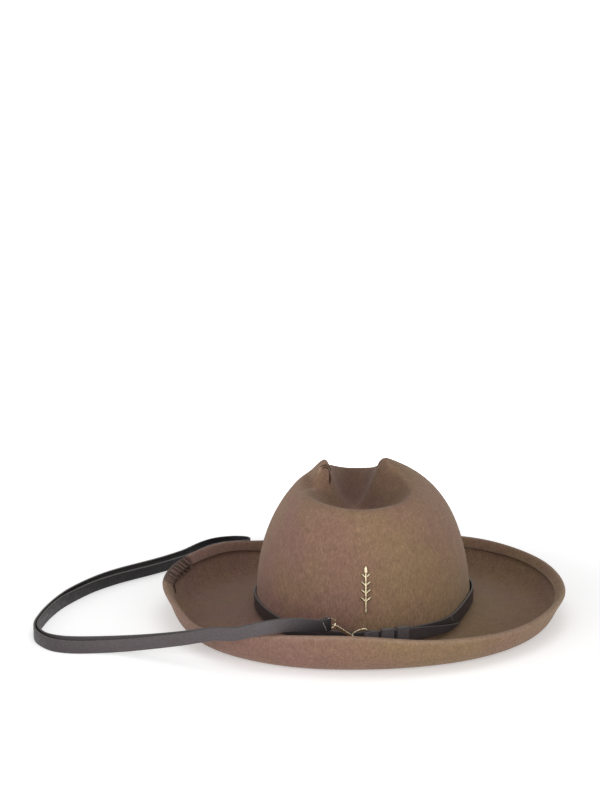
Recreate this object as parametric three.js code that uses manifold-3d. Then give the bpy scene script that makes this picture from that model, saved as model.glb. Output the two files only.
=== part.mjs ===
// Felt hat with a creased crown, an upturned rolled brim, a leather band and a long leather strap.
// Millimetres, +Z up. The hat stands on the underside of its brim at z = 0, the crown is centred on
// the Z axis, and -Y is the side with the band's closure.
import * as THREE from "three";
import { mergeVertices } from "three/addons/utils/BufferGeometryUtils.js";
import Module from "manifold-3d";

const wasm = await Module();
wasm.setup();

// Felt body
const headHalfWidth = 86.5;
const headHalfLength = 103;
const crownHeight = 128;
const feltThickness = 2.2;
const dentFloorHeight = 84;
const dentCentreX = -9;
const dentCentreY = -6;
const lipRound = 9;
const brimReach = 75.5;
const brimRise = 34;
const brimBow = 10;
const creaseRadius = 3.4;
const groundReach = 56.5;
const groundRingWidth = 6;
const weltRadius = 1.45;
const weltDepth = 7;

// Fullness of the felt's curves, as shares of the distance that each covers
const dentFullness = 0.55;
const wallFullness = 0.57;
const brimFullness = 0.4;
const upturnFullness = 0.38;
const quarterRound = 0.55;

// Leather band and its closure
const bandWidth = 11.5;
const bandThickness = 1.5;
const bandSeat = 3.5;
const bandGap = 0.4;
const tabThickness = 1.2;
const tabLength = 84;
const tabFlapLength = 7;
const tabRestStart = 0.03;
const keeperWidth = 9.2;
const keeperThickness = 0.9;
const keeperSpacing = 11.9;
const keeperStart = 13.5;
const keeperSlack = 0.35;
const foldSlack = 0.95;
const pieceGap = 0.3;

// Brass parts
const ringWire = 0.65;
const bandRing = { along: 2.2, halfHeight: 6.1, reach: 11 };
const strapRing = { halfHeight: 6.3, reach: 7.2 };
const hookWire = 0.5;
const hookEyeRadius = 2;
const hookTwists = 3;
const hookShankWidth = 1.9;
const hookAtStrapRing = -30;
const hookAtBandRing = -4;
const pinFoot = 31;
const pinLength = 34;
const pinAcross = 1.5;
const pinStemRadius = 0.8;
const leafletLength = 5.6;
const leafletWidth = 2.2;
const leafletPairs = 4;
const leafletSpread = 46;
const firstLeaflet = 0.25;
const lastLeaflet = 0.9;
const pinStandOff = 0.25;

// Strap
const strapWidth = 10;
const strapThickness = 1.6;
const strapSections = 76;
const strapBevel = 0.35;
const strapFlapLength = 13;
const strapFoldSections = 14;

// How finely the felt is divided
const feltSectors = 48;

const degree = Math.PI / 180;
const up = new THREE.Vector3(0, 0, 1);

// The crown's ridge round the dent. x, y and z are shares of the head's half width, its half length
// and the crown's height; shoulder and drop shape the roll from the ridge to the wall, and lean is
// how far the wall leans in for its height. lip is how softly the dent's edge is rounded.
const ridgeRows = [
  { at: 0, x: 0.214, y: 0.04, z: 1.0, shoulder: 0.53, drop: 0.1, lean: 0.04, lip: 1 },
  { at: 25, x: 0.2, y: 0.21, z: 0.98, shoulder: 0.48, drop: 0.1, lean: 0.06, lip: 1 },
  { at: 50, x: 0.15, y: 0.43, z: 0.92, shoulder: 0.4, drop: 0.08, lean: 0.08, lip: 0.9 },
  { at: 72, x: 0.07, y: 0.6, z: 0.85, shoulder: 0.21, drop: 0.023, lean: 0.08, lip: 0.7 },
  { at: 90, x: -0.08, y: 0.67, z: 0.834, shoulder: 0.12, drop: 0.008, lean: 0.08, lip: 0.6 },
  { at: 108, x: -0.23, y: 0.6, z: 0.848, shoulder: 0.18, drop: 0.023, lean: 0.08, lip: 0.7 },
  { at: 130, x: -0.335, y: 0.41, z: 0.905, shoulder: 0.28, drop: 0.08, lean: 0.06, lip: 0.8 },
  { at: 155, x: -0.385, y: 0.21, z: 0.955, shoulder: 0.27, drop: 0.12, lean: 0.02, lip: 0.9 },
  { at: 180, x: -0.4, y: 0.03, z: 0.985, shoulder: 0.29, drop: 0.135, lean: -0.04, lip: 0.9 },
  { at: 205, x: -0.47, y: -0.175, z: 0.925, shoulder: 0.26, drop: 0.1, lean: -0.05, lip: 0.6 },
  { at: 228, x: -0.5, y: -0.39, z: 0.875, shoulder: 0.19, drop: 0.047, lean: 0, lip: 0.35 },
  { at: 248, x: -0.405, y: -0.585, z: 0.85, shoulder: 0.12, drop: 0.016, lean: 0.04, lip: 0.25 },
  { at: 270, x: -0.035, y: -0.728, z: 0.83, shoulder: 0.1, drop: 0.008, lean: 0.08, lip: 0.2 },
  { at: 292, x: 0.325, y: -0.63, z: 0.85, shoulder: 0.12, drop: 0.016, lean: 0.08, lip: 0.25 },
  { at: 312, x: 0.445, y: -0.43, z: 0.89, shoulder: 0.21, drop: 0.039, lean: 0.06, lip: 0.4 },
  { at: 335, x: 0.36, y: -0.155, z: 0.945, shoulder: 0.4, drop: 0.08, lean: 0.02, lip: 0.8 },
];

// The brim all round. reach and ground are shares of the brim's reach and of its flat part's reach,
// rise is a share of the highest rim. seat and band are shares of the brim's bow: how far the brim
// and the band's lower edge go up at the crown. lean is how far the rim leans out, in degrees.
const brimRows = [
  { at: 0, reach: 1, rise: 0.74, ground: 1, seat: 0.8, band: 1, lean: 48 },
  { at: 25, reach: 1, rise: 0.81, ground: 0.97, seat: 0.65, band: 0.8, lean: 36 },
  { at: 50, reach: 1, rise: 0.82, ground: 0.94, seat: 0.4, band: 0.5, lean: 22 },
  { at: 75, reach: 0.955, rise: 0.76, ground: 0.9, seat: 0.2, band: 0.25, lean: 15 },
  { at: 100, reach: 0.945, rise: 0.7, ground: 0.9, seat: 0.15, band: 0.15, lean: 15 },
  { at: 120, reach: 1, rise: 0.66, ground: 0.92, seat: 0.2, band: 0.2, lean: 18 },
  { at: 136, reach: 1, rise: 0.87, ground: 0.96, seat: 0.3, band: 0.3, lean: 26 },
  { at: 155, reach: 1, rise: 0.89, ground: 1, seat: 0.4, band: 0.45, lean: 36 },
  { at: 180, reach: 1, rise: 0.87, ground: 1, seat: 0.5, band: 0.6, lean: 44 },
  { at: 198, reach: 0.975, rise: 0.8, ground: 0.98, seat: 0.42, band: 0.52, lean: 40 },
  { at: 215, reach: 0.98, rise: 0.56, ground: 0.98, seat: 0.22, band: 0.28, lean: 30 },
  { at: 230, reach: 1, rise: 0.71, ground: 0.98, seat: 0.04, band: 0.06, lean: 24 },
  { at: 250, reach: 0.96, rise: 0.9, ground: 0.93, seat: 0.02, band: 0.01, lean: 18 },
  { at: 268, reach: 0.94, rise: 0.96, ground: 0.84, seat: 0.02, band: 0.02, lean: 16 },
  { at: 287, reach: 0.95, rise: 0.81, ground: 0.81, seat: 0.06, band: 0.2, lean: 17 },
  { at: 305, reach: 0.97, rise: 0.71, ground: 0.86, seat: 0.08, band: 0.17, lean: 20 },
  { at: 322, reach: 0.99, rise: 0.68, ground: 0.92, seat: 0.15, band: 0.25, lean: 30 },
  { at: 340, reach: 1, rise: 0.76, ground: 0.98, seat: 0.62, band: 0.93, lean: 42 },
];

// The tab of the band's closure. along is a share of its length, low and high are shares of the
// band's width above the band's lower edge at the closure, and out lifts it off the band in
// thicknesses of its leather.
const tabRows = [
  { along: 0, low: 0.45, high: 1.16, out: 3.5 },
  { along: 0.04, low: 0.4, high: 1.14, out: 2.6 },
  { along: 0.08, low: 0.36, high: 1.13, out: 1.3 },
  { along: 0.115, low: 0.33, high: 1.12, out: 0 },
  { along: 0.2, low: 0.3, high: 1.12, out: 0 },
  { along: 0.42, low: 0.26, high: 1.1, out: 0 },
  { along: 0.6, low: 0.22, high: 0.98, out: 0.5 },
  { along: 0.78, low: 0.2, high: 0.8, out: 1.1 },
  { along: 0.9, low: 0.3, high: 0.68, out: 1.5 },
  { along: 1, low: 0.53, high: 0.59, out: 1.8 },
];

// The strap's route along its lower edge, from the brass ring round the outer pass, the turn behind
// the hat and the inner pass back: x, y, z and how far it leans, in millimetres and degrees.
const strapRoute = [
  [-45, -150.2, 30.2, 0],
  [-58, -155.6, 31.4, 0],
  [-70, -159.4, 31, 0],
  [-84, -157.8, 27.8, 0],
  [-97, -153.6, 23.8, 0],
  [-113, -145.3, 21.4, 0],
  [-135, -134, 14.6, 0],
  [-167, -119, 6.4, 0],
  [-189, -109.5, 1.6, 0],
  [-208, -107.8, 0.2, 0],
  [-224, -108.5, 0.2, 0],
  [-239, -103.5, 0.2, 0],
  [-249, -92, 0.2, 0],
  [-256.5, -76, 0.2, 0],
  [-259.5, -54, 0.2, 0],
  [-258, -32, 0.2, 0],
  [-254.8, -8.6, 0.2, 0],
  [-244, 40, 0.2, 6],
  [-222, 90, 0.2, 14],
  [-204, 116, 0.2, 20],
  [-179, 143, 0.2, 20],
  [-156, 171, 0.2, 12],
  [-142, 195, 0.2, 0],
  [-129, 211, 0.2, 0],
  [-112, 217, 0.2, 0],
  [-101.5, 214, 0.2, 0],
  [-99.5, 207, 0.2, 0],
  [-107, 201.5, 0.2, 0],
  [-121, 197, 0.2, 0],
  [-134, 184, 0.2, 0],
  [-147, 162, 0.2, 10],
  [-162, 143.5, 0.2, 18],
  [-182, 120.5, 0.2, 20],
  [-204, 97, 0.2, 18],
  [-223.5, 69.5, 0.2, 12],
  [-237.5, 39.7, 0.2, 6],
  [-246, 16.5, 0.2, 0],
  [-252.2, -10, 0.2, 0],
  [-255.4, -32, 0.2, 0],
  [-257, -52, 0.2, 0],
  [-255.2, -68, 0.2, 0],
  [-247.5, -85, 0.2, 0],
  [-232, -94.6, 0.2, 0],
  [-198, -96.5, 0.8, 0],
  [-167, -110.5, 6.4, 0],
  [-138, -127.8, 14, 0],
  [-113, -142.4, 21.4, 0],
  [-97, -150.9, 23.8, 0],
  [-84, -155.1, 27.8, 0],
  [-70, -156.7, 31, 0],
  [-58, -153.1, 31.4, 0],
  [-46, -148, 30.2, 0],
];
const strapEnd = new THREE.Vector3(-27, -138, 27.4);
const strapEndHeading = 37;

// Smooth periodic value of one column of a table of rows round the hat.
function around(rows, column) {
  const count = rows.length;
  const slope = (k) => {
    const before = rows[(k + count - 1) % count];
    const after = rows[(k + 1) % count];
    const span = (after.at - before.at + 720) % 360;
    return (after[column] - before[column]) / span;
  };
  return (azimuth) => {
    const angle = ((azimuth % 360) + 360) % 360;
    let k = count - 1;
    while (k > 0 && rows[k].at > angle) {
      k -= 1;
    }
    const next = (k + 1) % count;
    const span = (rows[next].at - rows[k].at + 360) % 360;
    const t = (angle - rows[k].at) / span;
    const t2 = t * t;
    const t3 = t2 * t;
    return (2 * t3 - 3 * t2 + 1) * rows[k][column]
      + (t3 - 2 * t2 + t) * span * slope(k)
      + (3 * t2 - 2 * t3) * rows[next][column]
      + (t3 - t2) * span * slope(next);
  };
}

const ridge = {
  x: around(ridgeRows, "x"),
  y: around(ridgeRows, "y"),
  z: around(ridgeRows, "z"),
  shoulder: around(ridgeRows, "shoulder"),
  drop: around(ridgeRows, "drop"),
  lean: around(ridgeRows, "lean"),
  lip: around(ridgeRows, "lip"),
};
const brim = {
  reach: around(brimRows, "reach"),
  rise: around(brimRows, "rise"),
  ground: around(brimRows, "ground"),
  seat: around(brimRows, "seat"),
  band: around(brimRows, "band"),
  lean: around(brimRows, "lean"),
};

// Closed solid from points and triangles, turned so that its faces point out.
function solid(points, triangles) {
  let volume = 0;
  const cross = new THREE.Vector3();
  for (const [a, b, c] of triangles) {
    cross.crossVectors(points[b], points[c]);
    volume += points[a].dot(cross);
  }
  const index = [];
  for (const [a, b, c] of triangles) {
    index.push(a, volume < 0 ? c : b, volume < 0 ? b : c);
  }
  const geometry = new THREE.BufferGeometry().setFromPoints(points);
  geometry.setIndex(index);
  return geometry;
}

// Skin over a row of rings of points. Open rows are closed by a point at each end, and a row that
// goes full circle joins its last ring to its first.
function ringsSolid(rings, startPoint, endPoint) {
  const count = rings[0].length;
  const points = rings.flat();
  const triangles = [];
  const joins = startPoint ? rings.length - 1 : rings.length;
  for (let r = 0; r < joins; r += 1) {
    const next = (r + 1) % rings.length;
    for (let i = 0; i < count; i += 1) {
      const j = (i + 1) % count;
      const a = r * count + i;
      const b = r * count + j;
      const c = next * count + j;
      const d = next * count + i;
      triangles.push([a, b, c], [a, c, d]);
    }
  }
  if (startPoint) {
    const last = (rings.length - 1) * count;
    points.push(startPoint, endPoint);
    for (let i = 0; i < count; i += 1) {
      const j = (i + 1) % count;
      triangles.push([j, i, points.length - 2], [last + i, last + j, points.length - 1]);
    }
  }
  return solid(points, triangles);
}

function middleOf(ring) {
  const sum = new THREE.Vector3();
  ring.forEach((point) => sum.add(point));
  return sum.multiplyScalar(1 / ring.length);
}

// Felt
const headPoint = (azimuth, z) => new THREE.Vector3(
  headHalfWidth * Math.cos(azimuth * degree),
  headHalfLength * Math.sin(azimuth * degree),
  z,
);
const brimMiddle = feltThickness / 2;
const seatHeight = (azimuth) => brimMiddle + brimBow * brim.seat(azimuth);
const outwards = (azimuth) => new THREE.Vector3(
  Math.cos(azimuth * degree),
  Math.sin(azimuth * degree),
  0,
);

function ridgePoint(azimuth) {
  return new THREE.Vector3(
    headHalfWidth * ridge.x(azimuth),
    headHalfLength * ridge.y(azimuth),
    crownHeight * ridge.z(azimuth) - feltThickness / 2,
  );
}

// One meridian of the felt's middle surface, from the dent's centre to the welt's raw edge.
function meridian(azimuth) {
  const out = outwards(azimuth);
  const floor = new THREE.Vector3(dentCentreX, dentCentreY, dentFloorHeight);
  const top = ridgePoint(azimuth);
  const roll = out.clone().multiplyScalar(headHalfWidth * ridge.shoulder(azimuth));
  roll.z = -crownHeight * ridge.drop(azimuth);
  const lip = roll.clone().normalize().multiplyScalar(-lipRound * ridge.lip(azimuth));
  const spread = new THREE.Vector3(top.x - floor.x, top.y - floor.y, 0).multiplyScalar(dentFullness);

  const seat = seatHeight(azimuth);
  const wallFoot = headPoint(azimuth, seat + creaseRadius);
  wallFoot.addScaledVector(out, -brimMiddle);
  const wallRise = (top.z - wallFoot.z) * wallFullness;
  const wallLean = out.clone().multiplyScalar(-ridge.lean(azimuth)).add(up).multiplyScalar(wallRise);

  const seam = wallFoot.clone().addScaledVector(out, creaseRadius);
  seam.z = seat;
  const ground = headPoint(azimuth, brimMiddle).addScaledVector(out, groundReach * brim.ground(azimuth));
  const groundStart = ground.clone().addScaledVector(out, -groundRingWidth);
  const slope = groundStart.clone().sub(seam).multiplyScalar(brimFullness);
  const flat = new THREE.Vector3(slope.x, slope.y, 0);

  const rimTop = brimRise * brim.rise(azimuth);
  const rim = headPoint(azimuth, rimTop - weltRadius - brimMiddle);
  rim.addScaledVector(out, brimReach * brim.reach(azimuth) - brimMiddle);
  const rimLean = brim.lean(azimuth) * degree;
  const climb = out.clone().multiplyScalar(Math.sin(rimLean));
  climb.z = Math.cos(rimLean);
  const run = rim.distanceTo(ground) * upturnFullness;
  const bend = creaseRadius * quarterRound;

  const bezier = (a, b, c, d) => new THREE.CubicBezierCurve3(a, b, c, d);
  const moved = (point, shift, share = 1) => point.clone().addScaledVector(shift, share);
  return [
    { steps: 6, curve: bezier(floor, moved(floor, spread), moved(top, lip), top) },
    { steps: 8, curve: bezier(top, moved(top, roll), moved(wallFoot, wallLean), wallFoot) },
    { steps: 3, curve: bezier(wallFoot, moved(wallFoot, up, -bend), moved(seam, out, -bend), seam) },
    { steps: 3, curve: bezier(seam, moved(seam, flat), moved(groundStart, flat, -1), groundStart) },
    { steps: 1, curve: new THREE.LineCurve3(groundStart, ground) },
    { steps: 4, curve: bezier(ground, moved(ground, out, run), moved(rim, climb, -run), rim) },
    { steps: 4, curve: weltArc(rim, climb, out) },
    { steps: 1, curve: weltFlap(rim, climb, out) },
  ];
}

// The half turn of the felt at the rim, inwards over itself.
function weltArc(rim, climb, out) {
  const across = inwardNormal(climb, out);
  const curve = new THREE.Curve();
  curve.getPoint = (t) => rim.clone()
    .addScaledVector(across, weltRadius * (1 - Math.cos(Math.PI * t)))
    .addScaledVector(climb, weltRadius * Math.sin(Math.PI * t));
  return curve;
}

function weltFlap(rim, climb, out) {
  const start = rim.clone().addScaledVector(inwardNormal(climb, out), 2 * weltRadius);
  return new THREE.LineCurve3(start, start.clone().addScaledVector(climb, -weltDepth));
}

function inwardNormal(climb, out) {
  const side = new THREE.Vector3().crossVectors(up, out);
  return new THREE.Vector3().crossVectors(side, climb).negate().normalize();
}

// Points of the meridian with the direction that it runs in, one list for each azimuth.
function meridianSamples(azimuth) {
  const samples = [];
  for (const { steps, curve } of meridian(azimuth)) {
    for (let k = samples.length === 0 ? 0 : 1; k <= steps; k += 1) {
      const t = k / steps;
      samples.push({ point: curve.getPoint(t), heading: curve.getTangent(t) });
    }
  }
  return samples;
}

function feltGeometry() {
  const skins = { outer: [], inner: [] };
  const nudge = 0.25;
  for (let i = 0; i < feltSectors; i += 1) {
    const azimuth = (360 * i) / feltSectors;
    const samples = meridianSamples(azimuth);
    const before = meridianSamples(azimuth - nudge);
    const after = meridianSamples(azimuth + nudge);
    samples.forEach(({ point, heading }, k) => {
      const sideways = after[k].point.clone().sub(before[k].point);
      const normal = k === 0 ? up.clone() : new THREE.Vector3().crossVectors(heading, sideways).normalize();
      skins.outer[k] = skins.outer[k] ?? [];
      skins.inner[k] = skins.inner[k] ?? [];
      skins.outer[k].push(point.clone().addScaledVector(normal, feltThickness / 2));
      skins.inner[k].push(point.clone().addScaledVector(normal, -feltThickness / 2));
    });
  }
  const rings = [...skins.outer.slice(1), ...skins.inner.slice(1).reverse()];
  return ringsSolid(rings, skins.outer[0][0], skins.inner[0][0]);
}

// Point beside the crown, out from the felt's outer face at the band.
function besideCrown(azimuth, offset, z) {
  const out = outwards(azimuth);
  const normal = new THREE.Vector3(out.x / headHalfWidth, out.y / headHalfLength, 0).normalize();
  return headPoint(azimuth, z).addScaledVector(normal, offset);
}

// Azimuth on the crown's foot for a distance along it, to the right of the closure's centre.
function azimuthAt(along) {
  let azimuth = 270;
  const step = 0.05 * Math.sign(along || 1);
  let length = 0;
  while (length < Math.abs(along)) {
    const here = headPoint(azimuth, 0);
    azimuth += step;
    length += here.distanceTo(headPoint(azimuth, 0));
  }
  return azimuth;
}

const bandLow = (azimuth) => brimMiddle + bandSeat + brimBow * brim.band(azimuth);
const bandOuter = bandGap + bandThickness;

function bandGeometry() {
  const sections = 60;
  const rings = [];
  for (let i = 0; i < sections; i += 1) {
    const azimuth = (360 * i) / sections;
    const low = bandLow(azimuth);
    rings.push([
      besideCrown(azimuth, bandGap, low),
      besideCrown(azimuth, bandOuter, low),
      besideCrown(azimuth, bandOuter, low + bandWidth),
      besideCrown(azimuth, bandGap, low + bandWidth),
    ]);
  }
  return ringsSolid(rings);
}

// Value of a table column at a share of the length, straight between rows.
function between(rows, column, along) {
  let k = 0;
  while (k < rows.length - 2 && rows[k + 1].along < along) {
    k += 1;
  }
  const t = (along - rows[k].along) / (rows[k + 1].along - rows[k].along);
  return rows[k][column] + t * (rows[k + 1][column] - rows[k][column]);
}

const tabStart = bandRing.along + ringWire + pieceGap;
const tabInner = bandOuter + pieceGap;
const foldRadius = ringWire + pieceGap + foldSlack + tabThickness / 2;
const ringOffset = tabInner + tabThickness / 2 + foldRadius;

// The tab runs from its flap under itself, round the ring's wire, under the keepers to its tip.
function tabGeometry() {
  const closureLow = bandLow(270);
  const path = [];
  const foldSteps = 7;
  const flapOffset = tabInner + tabThickness / 2;
  for (const back of [tabFlapLength, tabLength * tabRestStart]) {
    path.push({ along: tabStart + back, offset: flapOffset, share: back / tabLength });
  }
  for (let k = 0; k <= foldSteps; k += 1) {
    const turn = (Math.PI * k) / foldSteps;
    path.push({
      along: tabStart - foldRadius * Math.sin(turn),
      offset: ringOffset - foldRadius * Math.cos(turn),
      share: 0,
    });
  }
  const steps = 22;
  for (let k = 0; k <= steps; k += 1) {
    const share = tabRestStart + ((1 - tabRestStart) * k) / steps;
    path.push({
      along: tabStart + share * tabLength,
      offset: flapOffset + tabThickness * between(tabRows, "out", share),
      share,
    });
  }
  const frames = path.map((step, k) => {
    const a = path[Math.max(k - 1, 0)];
    const b = path[Math.min(k + 1, path.length - 1)];
    const flat = new THREE.Vector2(b.along - a.along, b.offset - a.offset).normalize();
    return { ...step, across: new THREE.Vector2(-flat.y, flat.x).multiplyScalar(tabThickness / 2) };
  });
  const rings = frames.map(({ along, offset, share, across }) => {
    const low = closureLow + bandWidth * between(tabRows, "low", share);
    const high = closureLow + bandWidth * between(tabRows, "high", share);
    const place = (side, z) => besideCrown(azimuthAt(along + side * across.x), offset + side * across.y, z);
    return [place(-1, low), place(1, low), place(1, high), place(-1, high)];
  });
  return ringsSolid(rings, middleOf(rings[0]), middleOf(rings[rings.length - 1]));
}

// A keeper goes over the tab and the band's two edges, open towards the felt.
function keeperGeometry(start) {
  const inside = tabInner + tabThickness + pieceGap;
  const outside = inside + keeperThickness;
  const rings = [];
  const steps = 3;
  for (let k = 0; k <= steps; k += 1) {
    const along = start + (keeperWidth * k) / steps;
    const azimuth = azimuthAt(along);
    const low = bandLow(azimuth) - keeperSlack;
    const tabHigh = bandLow(270) + bandWidth * between(tabRows, "high", (along - tabStart) / tabLength);
    const high = Math.max(bandLow(azimuth) + bandWidth, tabHigh) + keeperSlack;
    rings.push([
      besideCrown(azimuth, bandGap, low - keeperThickness),
      besideCrown(azimuth, outside, low - keeperThickness),
      besideCrown(azimuth, outside, high + keeperThickness),
      besideCrown(azimuth, bandGap, high + keeperThickness),
      besideCrown(azimuth, bandGap, high),
      besideCrown(azimuth, inside, high),
      besideCrown(azimuth, inside, low),
      besideCrown(azimuth, bandGap, low),
    ]);
  }
  return cShapeSolid(rings);
}

// Skin over rings whose section is a C of eight points, with its two ends cut flat.
function cShapeSolid(rings) {
  const points = rings.flat();
  const count = 8;
  const triangles = [];
  for (let r = 0; r + 1 < rings.length; r += 1) {
    for (let i = 0; i < count; i += 1) {
      const j = (i + 1) % count;
      const a = r * count;
      const b = a + count;
      triangles.push([a + i, a + j, b + j], [a + i, b + j, b + i]);
    }
  }
  const cap = [[0, 1, 6], [0, 6, 7], [1, 2, 5], [1, 5, 6], [2, 3, 4], [2, 4, 5]];
  const last = (rings.length - 1) * count;
  for (const [a, b, c] of cap) {
    triangles.push([c, b, a], [last + a, last + b, last + c]);
  }
  return solid(points, triangles);
}

// Round wire along a closed curve.
function wireLoop(curve, radius, steps, sides) {
  const rings = [];
  for (let k = 0; k < steps; k += 1) {
    const centre = curve.getPoint(k / steps);
    const ahead = curve.getPoint(((k + 0.5) / steps) % 1);
    const behind = curve.getPoint(((k - 0.5) / steps + 1) % 1);
    const heading = ahead.sub(behind).normalize();
    const side = new THREE.Vector3().crossVectors(heading, curve.planeNormal).normalize();
    const ring = [];
    for (let i = 0; i < sides; i += 1) {
      const turn = (2 * Math.PI * i) / sides;
      ring.push(centre.clone()
        .addScaledVector(side, radius * Math.cos(turn))
        .addScaledVector(curve.planeNormal, radius * Math.sin(turn)));
    }
    rings.push(ring);
  }
  return ringsSolid(rings);
}

// Circle in a plane, as a curve that knows its plane's normal.
function circle(centre, radius, normal, first) {
  const second = new THREE.Vector3().crossVectors(normal, first).normalize();
  const curve = new THREE.Curve();
  curve.planeNormal = normal.clone().normalize();
  curve.getPoint = (t) => centre.clone()
    .addScaledVector(first, radius * Math.cos(2 * Math.PI * t))
    .addScaledVector(second, radius * Math.sin(2 * Math.PI * t));
  return curve;
}

// D-shaped ring: an upright bar at the centre and a bow that reaches out from it.
function dRing(centre, heading, { halfHeight, reach }) {
  const bowShare = 0.7;
  const curve = new THREE.Curve();
  curve.planeNormal = new THREE.Vector3().crossVectors(heading, up).normalize();
  curve.bowPoint = (turn) => centre.clone()
    .addScaledVector(heading, reach * Math.cos(turn))
    .addScaledVector(up, halfHeight * Math.sin(turn));
  curve.getPoint = (t) => {
    if (t < bowShare) {
      return curve.bowPoint(-Math.PI / 2 + (Math.PI * t) / bowShare);
    }
    const drop = (t - bowShare) / (1 - bowShare);
    return curve.bowPoint(Math.PI / 2).addScaledVector(up, -2 * halfHeight * drop);
  };
  return curve;
}

const strapHeading = new THREE.Vector3(
  Math.cos(strapEndHeading * degree),
  Math.sin(strapEndHeading * degree),
  0,
);
const strapRingCurve = dRing(
  strapEnd.clone().addScaledVector(up, strapWidth / 2),
  strapHeading,
  strapRing,
);
const bandRingAzimuth = azimuthAt(bandRing.along);
const bandRingMiddle = bandLow(270) + bandWidth * (tabRows[0].low + tabRows[0].high) * 0.5;
const bandRingCurve = dRing(
  besideCrown(bandRingAzimuth, ringOffset, bandRingMiddle),
  new THREE.Vector3().crossVectors(outwards(bandRingAzimuth), up).normalize(),
  bandRing,
);

// Manifold solid from a closed geometry, and back.
function toManifold(geometry) {
  const bare = geometry.clone();
  for (const name of Object.keys(bare.attributes)) {
    if (name !== "position") {
      bare.deleteAttribute(name);
    }
  }
  const merged = mergeVertices(bare, 1e-5);
  return new wasm.Manifold(new wasm.Mesh({
    numProp: 3,
    vertProperties: new Float32Array(merged.attributes.position.array),
    triVerts: new Uint32Array(merged.index.array),
  }));
}

function fromManifold(body) {
  const mesh = body.getMesh();
  const geometry = new THREE.BufferGeometry();
  geometry.setAttribute("position", new THREE.BufferAttribute(new Float32Array(mesh.vertProperties), 3));
  geometry.setIndex(new THREE.BufferAttribute(new Uint32Array(mesh.triVerts), 1));
  return geometry;
}

function joined(geometries) {
  const [first, ...rest] = geometries.map(toManifold);
  return fromManifold(rest.reduce((body, piece) => body.add(piece), first));
}

// The twisted hook between the two rings: an eye at each end of a two-strand shank.
function hookGeometry() {
  const nearTurn = hookAtStrapRing * degree;
  const farTurn = hookAtBandRing * degree;
  const nearPoint = strapRingCurve.bowPoint(nearTurn);
  const farPoint = bandRingCurve.bowPoint(farTurn);
  const heading = farPoint.clone().sub(nearPoint).normalize();
  const eyeShift = hookEyeRadius - hookWire - ringWire - 2 * pieceGap;
  const eye = (centre, ring, turn) => {
    const along = ring.bowPoint(turn + 0.1).sub(ring.bowPoint(turn - 0.1));
    along.addScaledVector(heading, -along.dot(heading)).normalize();
    return circle(centre, hookEyeRadius, along, heading);
  };
  const nearEye = eye(nearPoint.addScaledVector(heading, eyeShift), strapRingCurve, nearTurn);
  const farEye = eye(farPoint.addScaledVector(heading, -eyeShift), bandRingCurve, farTurn);
  const shank = twistedShank(nearEye.getPoint(0), farEye.getPoint(0.5), nearEye.planeNormal);
  return joined([
    wireLoop(nearEye, hookWire, 14, 6),
    wireLoop(farEye, hookWire, 14, 6),
    shank,
  ]);
}

function twistedShank(start, end, firstSide) {
  const heading = end.clone().sub(start);
  const secondSide = new THREE.Vector3().crossVectors(heading, firstSide).normalize();
  const steps = 30;
  const sides = 8;
  const rings = [];
  for (let k = 0; k <= steps; k += 1) {
    const turn = (2 * Math.PI * hookTwists * k) / steps;
    const ring = [];
    for (let i = 0; i < sides; i += 1) {
      const angle = (2 * Math.PI * i) / sides;
      const wide = hookShankWidth * hookWire * Math.cos(angle);
      const narrow = hookWire * Math.sin(angle);
      ring.push(start.clone().addScaledVector(heading, k / steps)
        .addScaledVector(firstSide, wide * Math.cos(turn) - narrow * Math.sin(turn))
        .addScaledVector(secondSide, wide * Math.sin(turn) + narrow * Math.cos(turn)));
    }
    rings.push(ring);
  }
  return ringsSolid(rings, start, end);
}

// Strap: flat section standing on its edge, folded round the brass ring's bar at its start.
function strapGeometry() {
  const bendRadius = ringWire + pieceGap + strapThickness / 2;
  const side = new THREE.Vector3().crossVectors(up, strapHeading);
  const besideEnd = (back, across) => strapEnd.clone()
    .addScaledVector(strapHeading, -back)
    .addScaledVector(side, across * bendRadius);
  const points = [besideEnd(strapFlapLength, 0.5), besideEnd(strapFlapLength / 2, 0.66)];
  const foldSteps = 6;
  for (let k = 0; k <= foldSteps; k += 1) {
    const turn = (Math.PI * k) / foldSteps;
    points.push(besideEnd(-bendRadius * Math.sin(turn), Math.cos(turn)));
  }
  const foldEnd = points.length - 1;
  points.push(besideEnd(strapFlapLength * 0.6, -0.75));
  const leans = points.map(() => 0);
  for (const [x, y, z, lean] of strapRoute) {
    points.push(new THREE.Vector3(x, y, z));
    leans.push(lean);
  }
  const route = new THREE.CatmullRomCurve3(points, false, "centripetal");
  const foldShare = foldEnd / (points.length - 1);
  const shares = [];
  for (let k = 0; k < strapFoldSections; k += 1) {
    shares.push((foldShare * k) / strapFoldSections);
  }
  const rest = strapSections - strapFoldSections;
  for (let k = 0; k <= rest; k += 1) {
    shares.push(foldShare + ((1 - foldShare) * k) / rest);
  }
  const rings = shares.map((share) => strapSection(route, leans, share));
  return ringsSolid(rings, middleOf(rings[0]), middleOf(rings[rings.length - 1]));
}

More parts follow.
